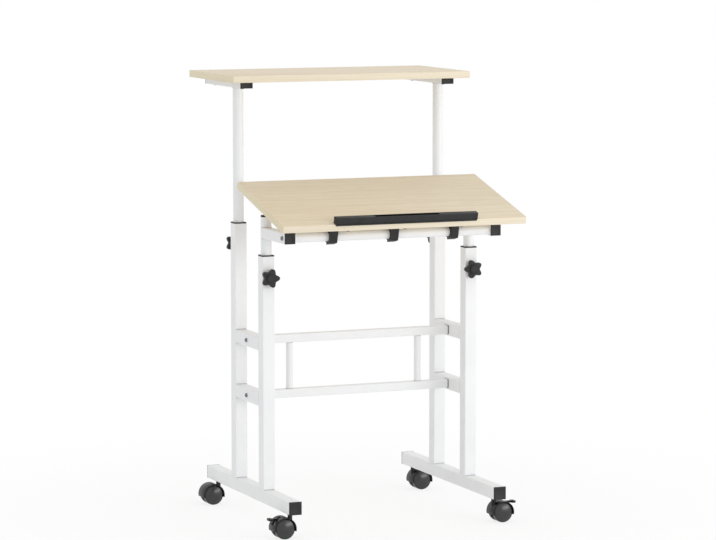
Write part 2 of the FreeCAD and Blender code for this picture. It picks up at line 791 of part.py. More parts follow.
failed = [thing.Name for thing in doc.Objects if "Invalid" in thing.State or "Error" in thing.State]
if failed:
    raise RuntimeError("objects that failed: " + ", ".join(failed))
for piece in nodes:
    if piece.Shape.isNull() or not piece.Shape.isValid() or not piece.Shape.Solids:
        raise RuntimeError(f"{piece.Label} has no valid solid")

os.makedirs("parts", exist_ok=True)
for piece in nodes:
    piece.Shape.exportStep(f"parts/{piece.Label}.step")
    print(piece.Label, len(piece.Shape.Solids), round(piece.Shape.Volume))
print("nodes", len(nodes), "rail", sheet.get("rail_y"), "base", sheet.get("base_y"))
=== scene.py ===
import bpy
import bmesh
import json
import math
from mathutils import Matrix, Vector


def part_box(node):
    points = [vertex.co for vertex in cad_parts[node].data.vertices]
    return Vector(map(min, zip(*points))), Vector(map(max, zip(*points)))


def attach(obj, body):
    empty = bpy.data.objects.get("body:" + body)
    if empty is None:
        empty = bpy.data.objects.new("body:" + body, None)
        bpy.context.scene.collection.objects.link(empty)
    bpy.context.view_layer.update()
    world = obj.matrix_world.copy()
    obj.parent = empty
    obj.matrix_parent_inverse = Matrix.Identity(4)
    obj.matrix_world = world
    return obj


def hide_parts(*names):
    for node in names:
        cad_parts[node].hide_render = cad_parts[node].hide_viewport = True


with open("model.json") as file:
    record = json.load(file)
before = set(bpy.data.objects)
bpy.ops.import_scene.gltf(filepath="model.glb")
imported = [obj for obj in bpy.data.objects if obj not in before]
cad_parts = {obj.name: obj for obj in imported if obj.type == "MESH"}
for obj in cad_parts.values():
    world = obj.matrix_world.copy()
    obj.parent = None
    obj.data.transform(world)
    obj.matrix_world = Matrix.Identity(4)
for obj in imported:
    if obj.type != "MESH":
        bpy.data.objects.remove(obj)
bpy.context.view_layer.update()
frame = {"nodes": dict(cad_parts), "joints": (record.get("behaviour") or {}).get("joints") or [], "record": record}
nodes = frame["nodes"]
joints = {joint["name"]: joint for joint in frame["joints"]}
mm = 0.001
sides = {"left": -1, "right": 1}
ends = {"front": -1, "rear": 1}
print("frame loaded with", len(nodes), "nodes")


# small helpers for objects and edit mode

def deselectAll():
    if bpy.context.mode != "OBJECT":
        bpy.ops.object.mode_set(mode="OBJECT")
    bpy.ops.object.select_all(action="DESELECT")


def makeActive(piece):
    deselectAll()
    piece.select_set(True)
    bpy.context.view_layer.objects.active = piece


def applyPlace(piece):
    makeActive(piece)
    bpy.ops.object.transform_apply(location=True, rotation=True, scale=True)
    return piece


def newCube(name, centre, size):
    deselectAll()
    bpy.ops.mesh.primitive_cube_add(size=1, location=centre, scale=size)
    bpy.context.object.name = name
    return applyPlace(bpy.context.object)


def newBlock(name, low, high):  # a cube between two corners
    low, high = Vector(low), Vector(high)
    return newCube(name, (low + high) / 2, high - low)


turns = {"x": (0, math.pi / 2, 0), "y": (math.pi / 2, 0, 0), "z": (0, 0, 0)}


def newDrum(name, axis, centre, radius, depth, steps=64):
    deselectAll()
    bpy.ops.mesh.primitive_cylinder_add(
        vertices=steps, radius=radius, depth=depth, location=centre, rotation=turns[axis]
    )
    bpy.context.object.name = name
    return applyPlace(bpy.context.object)


def pick(piece, kind, test):  # goes to edit mode with the faces, edges or points that pass the test selected
    makeActive(piece)
    bpy.ops.object.mode_set(mode="EDIT")
    bpy.ops.mesh.select_mode(type=kind)
    bpy.ops.mesh.select_all(action="DESELECT")
    mesh = bmesh.from_edit_mesh(piece.data)
    mesh.normal_update()
    for item in {"FACE": mesh.faces, "EDGE": mesh.edges, "VERT": mesh.verts}[kind]:
        if test(item):
            item.select_set(True)
    mesh.select_flush_mode()
    bmesh.update_edit_mesh(piece.data)


def objectMode():
    bpy.ops.object.mode_set(mode="OBJECT")


# tests that choose what to select; an axis is "x", "y" or "z"

squareOn = 0.99  # a direction this near to an axis counts as along it


def anything(item):
    return True


def isAlong(axis):  # edges along the axis
    i = "xyz".index(axis)
    return lambda edge: abs((edge.verts[1].co - edge.verts[0].co).normalized()[i]) > squareOn


def looksAlong(axis, way):  # faces that look along the axis, forwards or backwards
    i = "xyz".index(axis)
    return lambda face: face.normal[i] * way > squareOn


def isRim(axis, above=None):  # edges between an end face and the sides, all or those above a height
    i = "xyz".index(axis)
    sideOn, endOn = 0.5, 0.9

    def test(edge):
        tilts = sorted(abs(face.normal[i]) for face in edge.link_faces)
        isHigh = above is None or edge.verts[0].co[i] > above
        return isHigh and len(tilts) == 2 and tilts[0] < sideOn and tilts[1] > endOn
    return test


def bevelEdges(piece, test, width, steps):
    pick(piece, "EDGE", test)
    bpy.ops.mesh.bevel(offset=width, segments=steps, affect="EDGES")
    objectMode()
    return piece


def useModifier(piece, kind, **settings):
    makeActive(piece)
    modifier = piece.modifiers.new(kind.lower(), kind)
    for name, value in settings.items():
        setattr(modifier, name, value)
    bpy.ops.object.modifier_apply(modifier=modifier.name)
    return piece


def cutAway(piece, *tools):
    for tool in tools:
        useModifier(piece, "BOOLEAN", object=tool, operation="DIFFERENCE", solver="EXACT")
        bpy.data.objects.remove(tool)
    return piece


def fuseWith(piece, *others):
    for other in others:
        useModifier(piece, "BOOLEAN", object=other, operation="UNION", solver="EXACT")
        bpy.data.objects.remove(other)
    return piece


def softenEdges(piece, width, steps=2, angle=35):
    useModifier(
        piece, "BEVEL", width=width, segments=steps, limit_method="ANGLE",
        angle_limit=math.radians(angle),
    )
    return piece


def copyTo(piece, place):  # a copy with its own mesh, moved inside the mesh
    copy = piece.copy()
    copy.data = piece.data.copy()
    copy.data.transform(place)
    bpy.context.scene.collection.objects.link(copy)
    return copy


def joinAll(name, pieces):
    makeActive(pieces[0])
    for piece in pieces:
        piece.select_set(True)
    bpy.ops.object.join()
    pieces[0].name = name
    return pieces[0]


def finishPiece(piece, body, material, replaced, smooth=38):
    makeActive(piece)
    bpy.ops.object.shade_smooth_by_angle(angle=math.radians(smooth))
    if material is not None:
        piece.data.materials.clear()
        piece.data.materials.append(material)
    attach(piece, body)
    if replaced:
        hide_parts(*replaced)


def discard(*pieces):
    for piece in pieces:
        bpy.data.objects.remove(piece)


# materials

def hexToLinear(code):
    parts = [int(code[i:i + 2], 16) / 255 for i in (1, 3, 5)]
    return [c / 12.92 if c <= 0.04045 else ((c + 0.055) / 1.055) ** 2.4 for c in parts] + [1]


def addNode(tree, kind, settings, **links):  # a link called i0, i1 or so goes to the input of that number
    node = tree.nodes.new(kind)
    for name, value in settings.items():
        if isinstance(name, int) or name in node.inputs:
            node.inputs[name].default_value = value
        else:
            setattr(node, name, value)
    for name, source in links.items():
        tree.links.new(source, node.inputs[int(name[1:]) if name[1:].isdigit() else name])
    return node


def newMaterial(name):
    material = bpy.data.materials.new(name)
    material.use_nodes = True
    tree = material.node_tree
    return material, tree, tree.nodes["Principled BSDF"]


def setRamp(ramp, stops):
    while len(ramp.color_ramp.elements) < len(stops):
        ramp.color_ramp.elements.new(0.5)
    for element, (place, code) in zip(ramp.color_ramp.elements, stops):
        element.position = place
        element.color = hexToLinear(code)


def powderCoat(name, light, dark):
    # polyester powder coat on steel, sprayed dry and baked: a faint orange peel and an even satin sheen
    coat = {"peel": 1.6 * mm, "peelDepth": 0.15 * mm, "cloud": 60 * mm, "glossy": 0.37, "dull": 0.48}
    material, tree, shader = newMaterial(name)
    where = addNode(tree, "ShaderNodeTexCoord", {})
    cloud = addNode(
        tree, "ShaderNodeTexNoise", {"Scale": 1 / coat["cloud"], "Detail": 3}, Vector=where.outputs["Object"]
    )
    tone = addNode(tree, "ShaderNodeValToRGB", {}, Fac=cloud.outputs["Fac"])
    setRamp(tone, [(0.3, dark), (0.7, light)])
    peel = addNode(
        tree, "ShaderNodeTexNoise", {"Scale": 1 / coat["peel"], "Detail": 1}, Vector=where.outputs["Object"]
    )
    bump = addNode(
        tree, "ShaderNodeBump", {"Strength": 0.06, "Distance": coat["peelDepth"]}, Height=peel.outputs["Fac"]
    )
    sheen = addNode(
        tree, "ShaderNodeMapRange", {"To Min": coat["glossy"], "To Max": coat["dull"]},
        Value=peel.outputs["Fac"],
    )
    tree.links.new(tone.outputs["Color"], shader.inputs["Base Color"])
    tree.links.new(sheen.outputs["Result"], shader.inputs["Roughness"])
    tree.links.new(bump.outputs["Normal"], shader.inputs["Normal"])
    shader.inputs["IOR"].default_value = 1.5
    return material


def blackMoulding(name, light, dark, roughness, specular, grit, depth):
    # black moulded plastic: spark-eroded mould texture, fine and even, with a dull grey sheen
    cloudSize = 18 * mm
    sheenSpread = 0.07
    material, tree, shader = newMaterial(name)
    where = addNode(tree, "ShaderNodeTexCoord", {})
    cloud = addNode(
        tree, "ShaderNodeTexNoise", {"Scale": 1 / cloudSize, "Detail": 4}, Vector=where.outputs["Object"]
    )
    tone = addNode(tree, "ShaderNodeValToRGB", {}, Fac=cloud.outputs["Fac"])
    setRamp(tone, [(0.3, dark), (0.7, light)])
    spark = addNode(
        tree, "ShaderNodeTexNoise", {"Scale": 1 / grit, "Detail": 2}, Vector=where.outputs["Object"]
    )
    bump = addNode(
        tree, "ShaderNodeBump", {"Strength": 0.12, "Distance": depth}, Height=spark.outputs["Fac"]
    )
    sheen = addNode(
        tree, "ShaderNodeMapRange", {"To Min": roughness - sheenSpread, "To Max": roughness + sheenSpread},
        Value=spark.outputs["Fac"],
    )
    tree.links.new(tone.outputs["Color"], shader.inputs["Base Color"])
    tree.links.new(sheen.outputs["Result"], shader.inputs["Roughness"])
    tree.links.new(bump.outputs["Normal"], shader.inputs["Normal"])
    shader.inputs["IOR"].default_value = 1.53
    shader.inputs["Specular IOR Level"].default_value = specular
    return material


def zincPlate():
    # bright zinc plate on steel fasteners: a grey metal with a slightly cloudy, drawn look
    cloudSize = 3 * mm
    material, tree, shader = newMaterial("zincPlate")
    where = addNode(tree, "ShaderNodeTexCoord", {})
    cloud = addNode(
        tree, "ShaderNodeTexNoise", {"Scale": 1 / cloudSize, "Detail": 4}, Vector=where.outputs["Object"]
    )
    tone = addNode(tree, "ShaderNodeValToRGB", {}, Fac=cloud.outputs["Fac"])
    setRamp(tone, [(0.3, "#74777a"), (0.7, "#8b8e91")])
    dull = addNode(tree, "ShaderNodeMapRange", {"To Min": 0.28, "To Max": 0.42}, Value=cloud.outputs["Fac"])
    shader.inputs["Metallic"].default_value = 1
    tree.links.new(tone.outputs["Color"], shader.inputs["Base Color"])
    tree.links.new(dull.outputs["Result"], shader.inputs["Roughness"])
    return material


grain = {
    "pale": "#f0e2c9", "middle": "#e9d9bb", "deep": "#decdac",  # the laminate's printed tones
    "streak": 5 * mm, "streakLength": 260 * mm,  # broad figure along the board
    "fibre": 1.1 * mm, "fibreLength": 45 * mm,  # short pores, drawn coarser than real to show
    "pore": "#c4b291", "poreDepth": 0.1 * mm, "glossy": 0.4, "dull": 0.52,
}


def laminate(name, tilt, start):
    # melamine-faced particle board with a pale wood print: fine faint streaks along the board, satin surface
    material, tree, shader = newMaterial(name)
    where = addNode(tree, "ShaderNodeTexCoord", {})
    flat = addNode(
        tree, "ShaderNodeMapping", {"Rotation": (-tilt, 0, 0), "Location": start},
        Vector=where.outputs["Object"],
    )
    broad = addNode(
        tree, "ShaderNodeMapping",
        {"Scale": (1 / grain["streakLength"], 1 / grain["streak"], 1 / grain["streak"])},
        Vector=flat.outputs["Vector"],
    )
    figure = addNode(
        tree, "ShaderNodeTexNoise", {"Scale": 1, "Detail": 5, "Roughness": 0.62, "Distortion": 0.25},
        Vector=broad.outputs["Vector"],
    )
    tone = addNode(tree, "ShaderNodeValToRGB", {}, Fac=figure.outputs["Fac"])
    setRamp(tone, [(0.28, grain["deep"]), (0.5, grain["middle"]), (0.72, grain["pale"])])
    fine = addNode(
        tree, "ShaderNodeMapping",
        {"Scale": (1 / grain["fibreLength"], 1 / grain["fibre"], 1 / grain["fibre"])},
        Vector=flat.outputs["Vector"],
    )
    pores = addNode(
        tree, "ShaderNodeTexNoise", {"Scale": 1, "Detail": 3, "Roughness": 0.7},
        Vector=fine.outputs["Vector"],
    )
    inPore = addNode(
        tree, "ShaderNodeMapRange", {"From Min": 0.3, "From Max": 0.46, "To Min": 0.4, "To Max": 0},
        Value=pores.outputs["Fac"],
    )
    colour = addNode(
        tree, "ShaderNodeMix",
        {"data_type": "RGBA", "blend_type": "MULTIPLY", 7: hexToLinear(grain["pore"])},
        i0=inPore.outputs["Result"], i6=tone.outputs["Color"],
    )
    bump = addNode(
        tree, "ShaderNodeBump", {"Strength": 0.1, "Distance": grain["poreDepth"]},
        Height=pores.outputs["Fac"],
    )
    dull = addNode(
        tree, "ShaderNodeMapRange", {"To Min": grain["glossy"], "To Max": grain["dull"]},
        Value=figure.outputs["Fac"],
    )
    tree.links.new(colour.outputs[2], shader.inputs["Base Color"])
    tree.links.new(dull.outputs["Result"], shader.inputs["Roughness"])
    tree.links.new(bump.outputs["Normal"], shader.inputs["Normal"])
    return material


band = {
    # the short edges' darker, warmer tones are painted shade
    "long": ("#f0e5d0", "#e4d7bd"), "short": ("#ede3c4", "#e1d5b4"),
    "streak": 2.2 * mm, "streakLength": 120 * mm, "streakDepth": 0.1 * mm, "glossy": 0.4, "dull": 0.52,
}


def edgeBand(name, tilt, pale, deep):
    # glued edge band, printed to match the laminate: flat streaks, a little paler on the long edges; the short
    # edges' darker, warmer tone is painted shade for the boards' less-lit sides
    material, tree, shader = newMaterial(name)
    where = addNode(tree, "ShaderNodeTexCoord", {})
    flat = addNode(tree, "ShaderNodeMapping", {"Rotation": (-tilt, 0, 0)}, Vector=where.outputs["Object"])
    drawn = addNode(
        tree, "ShaderNodeMapping",
        {"Scale": (1 / band["streakLength"], 1 / band["streakLength"], 1 / band["streak"])},
        Vector=flat.outputs["Vector"],
    )
    figure = addNode(tree, "ShaderNodeTexNoise", {"Scale": 1, "Detail": 4}, Vector=drawn.outputs["Vector"])
    tone = addNode(tree, "ShaderNodeValToRGB", {}, Fac=figure.outputs["Fac"])
    setRamp(tone, [(0.3, deep), (0.7, pale)])
    bump = addNode(
        tree, "ShaderNodeBump", {"Strength": 0.08, "Distance": band["streakDepth"]},
        Height=figure.outputs["Fac"],
    )
    dull = addNode(
        tree, "ShaderNodeMapRange", {"To Min": band["glossy"], "To Max": band["dull"]},
        Value=figure.outputs["Fac"],
    )
    tree.links.new(tone.outputs["Color"], shader.inputs["Base Color"])
    tree.links.new(dull.outputs["Result"], shader.inputs["Roughness"])
    tree.links.new(bump.outputs["Normal"], shader.inputs["Normal"])
    return material


white = powderCoat("whitePowderCoat", "#f4f5f6", "#f0f1f2")
weldShadeCoat = powderCoat("powderCoatOnWeldWithPaintedShade", "#cbcbcb", "#bcbcbc")  # grey: painted shade, standing for the contact shadow along each joint
# light tone, dark tone, roughness, specular level, grit of the mould texture and its depth
black = blackMoulding("blackPolypropylene", "#2e2e2e", "#272727", 0.5, 0.28, 0.7 * mm, 0.2 * mm)
nylon = blackMoulding("blackNylon", "#181818", "#121212", 0.36, 0.25, 1.1 * mm, 0.1 * mm)
polished = blackMoulding("polishedBlackNylon", "#2f2f2f", "#292929", 0.25, 0.5, 1.4 * mm, 0.04 * mm)
# near black: painted shade for the inside of the stop bar's groove
grooveShade = blackMoulding("blackPaintedGrooveShade", "#0f0f0f", "#0a0a0a", 0.85, 0.12, 1.6 * mm, 0.4 * mm)
zinc = zincPlate()
slotMaterials = {
    "white_powder_coat": white,
    "zinc_plated_steel": zinc,
    "black_moulding": black,
    "caster_nylon": nylon,
}
for subpart in frame["record"]["subparts"]:  # every CAD node that stays gets its real finish
    node = nodes[subpart["node"]]
    node.data.materials.clear()
    node.data.materials.append(slotMaterials.get(subpart["material_slot"], white))
print("materials made")


# boards

boardShape = {"corner": 3 * mm, "cornerSteps": 5, "edge": 0.8 * mm, "edgeSteps": 2, "flat": 0.9}
deskTilt = math.radians(-joints["desktop_tilt"]["range_deg"][0])  # the level stop is this far below rest
boards = {  # each board has its own stretch of the print
    "shelf_panel": {"piece": "shelfBoard", "body": "shelf_carriage", "tilt": 0, "print": (0.31, 0.07, 0)},
    "desktop_panel": {"piece": "deskBoard", "body": "desktop", "tilt": deskTilt, "print": (0, 0, 0)},
}
shelfLow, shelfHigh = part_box("shelf_panel")
boardSize = shelfHigh - shelfLow  # both boards are cut to one size
for nodeName, board in boards.items():
    low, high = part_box(nodeName)
    piece = newCube(board["piece"], (0, 0, 0), boardSize)
    bevelEdges(piece, isAlong("z"), boardShape["corner"], boardShape["cornerSteps"])
    bevelEdges(piece, isRim("z"), boardShape["edge"], boardShape["edgeSteps"])
    piece.data.materials.append(laminate(board["piece"] + "Laminate", board["tilt"], board["print"]))
    piece.data.materials.append(edgeBand(board["piece"] + "LongEdgeBand", board["tilt"], *band["long"]))
    piece.data.materials.append(edgeBand(board["piece"] + "ShortEdgeBandPaintedShade", board["tilt"], *band["short"]))
    for face in piece.data.polygons:  # laminate above and below, a band on each edge; the short edges' darker band is painted shade
        bandIndex = 2 if abs(face.normal.x) > abs(face.normal.y) else 1
        face.material_index = 0 if abs(face.normal.z) > boardShape["flat"] else bandIndex
    piece.data.transform(Matrix.Translation((low + high) / 2) @ Matrix.Rotation(board["tilt"], 4, "X"))
    finishPiece(piece, board["body"], None, [nodeName])
print("boards made")

# from the desktop's own frame, with the rail's axis along X, to its tilted place
onDesk = Matrix.Translation(joints["desktop_tilt"]["pos_m"]) @ Matrix.Rotation(deskTilt, 4, "X")
deskLow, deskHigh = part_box("desktop_panel")
deskMiddle = onDesk.inverted() @ ((deskLow + deskHigh) / 2)
deskUnder = deskMiddle.z - boardSize.z / 2
deskTop = deskMiddle.z + boardSize.z / 2
deskFront = deskMiddle.y - boardSize.y / 2


# stop bar along the desktop's front edge

stop = {
    "length": 350 * mm, "depth": 15 * mm, "height": 16 * mm, "lip": 3 * mm, "end": 2 * mm, "soft": 1.4 * mm,
    "lipGap": 0.05 * mm, "lipSoft": 0.6 * mm, "crisp": 0.4 * mm,
    "groove": 160 * mm, "grooveWidth": 10.5 * mm, "grooveDepth": 4.6 * mm, "grooveEnd": 5.04 * mm,
}
stopFront = deskFront - stop["lip"]
stopTop = deskTop + stop["height"]
bar = newBlock(
    "stopBar",
    (-stop["length"] / 2, stopFront, deskTop),
    (stop["length"] / 2, stopFront + stop["depth"], stopTop),
)
bevelEdges(bar, isAlong("z"), stop["end"], steps=5)
bevelEdges(bar, isRim("z", above=deskTop + stop["height"] / 2), stop["soft"], steps=3)
groove = newCube(
    "groove", (0, stopFront + stop["depth"] / 2, stopTop),
    (stop["groove"], stop["grooveWidth"], 2 * stop["grooveDepth"]),
)
bevelEdges(groove, isAlong("z"), stop["grooveEnd"], steps=6)
cutAway(bar, groove)
softenEdges(bar, stop["crisp"])
lip = newBlock(
    "stopLip",
    (-stop["length"] / 2 + stop["end"], stopFront, deskTop - stop["lip"]),
    (stop["length"] / 2 - stop["end"], deskFront - stop["lipGap"], deskTop + stop["lip"]),
)
softenEdges(lip, stop["lipSoft"])
bar = joinAll("stopBar", [bar, lip])
bar.data.materials.append(black)
bar.data.materials.append(grooveShade)  # a near-black lining in the groove is painted shade, the dark inside the slot
for face in bar.data.polygons:
    fromMiddle = abs(face.center.y - stopFront - stop["depth"] / 2)
    isInGroove = fromMiddle < stop["grooveWidth"] / 2 + stop["crisp"]
    isSunk = -stop["grooveDepth"] - stop["crisp"] < face.center.z - stopTop < -stop["crisp"]
    face.material_index = 1 if isInGroove and isSunk else 0
bar.data.transform(onDesk)
finishPiece(bar, "desktop", None, ["stop_bar"])


# clips that hold the desktop on the rail

clip = {
    "width": 18 * mm, "spread": 150 * mm, "front": 20 * mm, "face": 9 * mm, "wall": 4.5 * mm,
    "foot": 9 * mm, "flange": 28 * mm, "rib": 8 * mm, "rail": 11 * mm, "bore": 11.08 * mm,
    "lip": 21.8 * mm, "lipWall": 3.5 * mm, "lipDrop": 28,  # the lip hangs down by these degrees
    "soft": 0.7 * mm, "inset": 1 * mm, "hookInset": 0.2 * mm,
}
half = clip["width"] / 2
ring = clip["rail"] + clip["wall"]
clipPiece = newBlock(
    "clip", (-half, -clip["front"], -clip["foot"]), (half, clip["face"] - clip["front"], deskUnder)
)
eye = newDrum("eye", "x", (0, 0, 0), ring, clip["width"], steps=48)
inFront = clip["inset"] - clip["front"]
bridge = newBlock("bridge", (-half, inFront, -clip["rail"] / 2), (half, 0, clip["rail"] / 2))
seat = newBlock("seat", (-half, -clip["front"], deskUnder - clip["wall"]), (half, clip["flange"], deskUnder))
rib = newBlock(
    "rib", (-clip["rib"] / 2, inFront, 0), (clip["rib"] / 2, clip["wall"], deskUnder - clip["inset"])
)
hook = newBlock("hook", (-half, clip["hookInset"], 0), (half, clip["lip"], clip["lipWall"]))
hook.data.transform(
    Matrix.Translation((0, -clip["front"], -clip["foot"]))
    @ Matrix.Rotation(math.radians(-clip["lipDrop"]), 4, "X")
)
fuseWith(clipPiece, eye, bridge, seat, rib, hook)
cutAway(clipPiece, newDrum("bore", "x", (0, 0, 0), clip["bore"], 2 * clip["width"], steps=48))
softenEdges(clipPiece, clip["soft"])
clips = [copyTo(clipPiece, onDesk @ Matrix.Translation((i * clip["spread"], 0, 0))) for i in (-1, 0, 1)]
discard(clipPiece)
finishPiece(joinAll("tiltClips", clips), "desktop", black, ["tilt_clips"])
print("stop bar and clips made")


# star knobs

knob = {
    "lobes": 5, "points": 120, "core": 18.4 * mm, "swing": 3.6 * mm,
    "seat": 6.3 * mm, "height": 12 * mm, "soft": 1.6 * mm, "crown": 11.4 * mm, "crownHeight": 4 * mm,
    "crownSoft": 1.3 * mm, "crownRim": 1.4 * mm, "groove": 0.5 * mm, "grooveSide": 0.4 * mm,
    "stud": 4 * mm, "studTip": 2.4 * mm, "studInset": 1 * mm, "smooth": 45,
}
deselectAll()
bpy.ops.mesh.primitive_circle_add(
    vertices=knob["points"], radius=knob["core"], fill_type="NGON", location=(0, 0, knob["seat"])
)
star = applyPlace(bpy.context.object)
lobeAngle = 2 * math.pi / knob["lobes"]
pointAngle = 2 * math.pi / knob["points"]


def turnFromLobe(point):  # how far round from the nearest lobe, the first of which points along +X
    turn = math.atan2(point.co.y, point.co.x) % lobeAngle
    return min(turn, lobeAngle - turn)


pointsToDip = knob["points"] // knob["lobes"] // 2
for i in range(pointsToDip + 1):  # the rim swings out at each lobe and in between the lobes
    turn = i * pointAngle
    spread = 1 + knob["swing"] / knob["core"] * math.cos(knob["lobes"] * turn)
    pick(star, "VERT", lambda point: abs(turnFromLobe(point) - turn) < pointAngle / 4)
    bpy.ops.transform.resize(value=(spread, spread, 1), center_override=(0, 0, knob["seat"]))
    objectMode()
pick(star, "FACE", anything)
bpy.ops.mesh.extrude_region_move(TRANSFORM_OT_translate={"value": (0, 0, knob["height"])})
bpy.ops.mesh.select_all(action="SELECT")
bpy.ops.mesh.normals_make_consistent(inside=False)
objectMode()
bevelEdges(star, isRim("z"), knob["soft"], steps=3)
top = knob["seat"] + knob["height"]
crown = newDrum("crown", "z", (0, 0, top + knob["crownHeight"] / 2), knob["crown"], knob["crownHeight"])
bevelEdges(crown, isRim("z", above=top + knob["crownHeight"] / 2), knob["crownSoft"], steps=4)
pick(crown, "FACE", looksAlong("z", 1))
bpy.ops.mesh.inset(thickness=knob["crownRim"], depth=0)
bpy.ops.mesh.inset(thickness=knob["grooveSide"], depth=-knob["groove"])
bpy.ops.mesh.inset(thickness=knob["grooveSide"], depth=knob["groove"])
objectMode()
studTop = knob["seat"] + knob["studInset"]
studMiddle = (studTop - knob["studTip"]) / 2
stud = newDrum("stud", "z", (0, 0, studMiddle), knob["stud"], studTop + knob["studTip"], steps=32)
star = joinAll("starKnob", [star, crown, stud])
for side, sign in sides.items():
    for end, way in ends.items():
        name = f"{side}_{end}_knob"
        joint = joints[name + "_turn"]
        facing = Matrix.Rotation(math.radians(-90 * way), 4, "X")
        lobe = Matrix.Rotation(0 if sign < 0 else math.pi, 4, "Z")  # a lobe points to the desk's middle
        placed = copyTo(star, Matrix.Translation(joint["pos_m"]) @ facing @ lobe)
        placed.name = side + end.title() + "Knob"
        finishPiece(placed, name, black, [name], knob["smooth"])
discard(star)
print("knobs made")


# end caps, collars and plugs

cap = {
    "flange": 3 * mm, "plug": 9 * mm, "wall": 1.6 * mm, "soft": 0.7 * mm,
    "pad": 2.5 * mm, "sink": 0.25 * mm, "sinkSide": 0.5 * mm,
}


def endCap(name, centre, width, height, way):  # a pressed-in cap whose outer face looks along Y
    flange = newCube(name, (0, 0, 0), (width, cap["flange"], height))
    bevelEdges(flange, isRim("y", above=0), cap["soft"], steps=3)
    pick(flange, "FACE", looksAlong("y", 1))
    bpy.ops.mesh.inset(thickness=cap["pad"], depth=0)
    bpy.ops.mesh.inset(thickness=cap["sinkSide"], depth=-cap["sink"])
    objectMode()
    pick(flange, "FACE", looksAlong("y", -1))
    bpy.ops.mesh.inset(thickness=cap["wall"], depth=0)
    bpy.ops.mesh.extrude_region_move(TRANSFORM_OT_translate={"value": (0, -cap["plug"], 0)})
    objectMode()
    turn = Matrix.Rotation(0 if way > 0 else math.pi, 4, "Z")
    flange.data.transform(Matrix.Translation(centre) @ turn)
    return flange


def capsOnTubes(name, tubes, whichEnds, body, replaced):  # a cap on each tube's end, flush with its sides
    made = []
    for tube in tubes:
        low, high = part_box(tube)
        middle = (low + high) / 2
        for way in whichEnds:
            faceY = low.y - cap["flange"] / 2 if way < 0 else high.y + cap["flange"] / 2
            made.append(endCap(name, (middle.x, faceY, middle.z), high.x - low.x, high.z - low.z, way))
    finishPiece(joinAll(name, made), body, black, [replaced])


capsOnTubes("footEndCaps", ["left_foot_bar", "right_foot_bar"], (-1, 1), "base", "foot_end_caps")
capsOnTubes(
    "shelfArmCaps", ["left_shelf_arm", "right_shelf_arm"], (-1, 1), "shelf_carriage", "shelf_arm_caps"
)
capsOnTubes("deskArmCaps", ["left_desk_arm", "right_desk_arm"], (-1,), "desk_carriage", "desk_arm_caps")

collar = {
    "height": 3 * mm, "corner": 2.5 * mm, "soft": 0.6 * mm, "gap": 0.1 * mm, "plug": 10 * mm,
    "wall": 1.6 * mm, "boreLength": 60 * mm,
}
collars = []
for side in sides:
    for end in ends:
        low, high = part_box(f"{side}_{end}_leg")
        tubeLow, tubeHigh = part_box(f"{side}_{end}_tube")
        middle = (low + high) / 2
        width = high.x - low.x
        ringPiece = newCube(
            "collar", (middle.x, middle.y, high.z + collar["height"] / 2), (width, width, collar["height"])
        )
        bevelEdges(ringPiece, isAlong("z"), collar["corner"], steps=4)
        bevelEdges(ringPiece, isRim("z", above=high.z + collar["height"] / 2), collar["soft"], steps=3)
        pick(ringPiece, "FACE", looksAlong("z", -1))
        bpy.ops.mesh.inset(thickness=collar["wall"], depth=0)
        bpy.ops.mesh.extrude_region_move(TRANSFORM_OT_translate={"value": (0, 0, -collar["plug"])})
        objectMode()
        bore = (tubeHigh.x - tubeLow.x) / 2 + collar["gap"]
        cutAway(ringPiece, newDrum("bore", "z", (middle.x, middle.y, high.z), bore, collar["boreLength"]))
        collars.append(ringPiece)
finishPiece(joinAll("legCollars", collars), "base", black, ["leg_collars"])

plug = {"height": 4 * mm, "soft": 1.2 * mm, "spigot": 12 * mm, "fit": 1.6 * mm}
plugs = []
for side in sides:
    low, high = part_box(f"{side}_front_tube")
    middle = (low + high) / 2
    radius = (high.x - low.x) / 2
    button = newDrum("plug", "z", (middle.x, middle.y, high.z + plug["height"] / 2), radius, plug["height"])
    bevelEdges(button, isRim("z", above=high.z + plug["height"] / 2), plug["soft"], steps=4)
    pick(button, "FACE", looksAlong("z", -1))
    bpy.ops.mesh.inset(thickness=plug["fit"], depth=0)
    bpy.ops.mesh.extrude_region_move(TRANSFORM_OT_translate={"value": (0, 0, -plug["spigot"])})
    objectMode()
    plugs.append(button)
finishPiece(joinAll("frontTubePlugs", plugs), "desk_carriage", black, ["front_tube_plugs"])
print("caps, collars and plugs made")
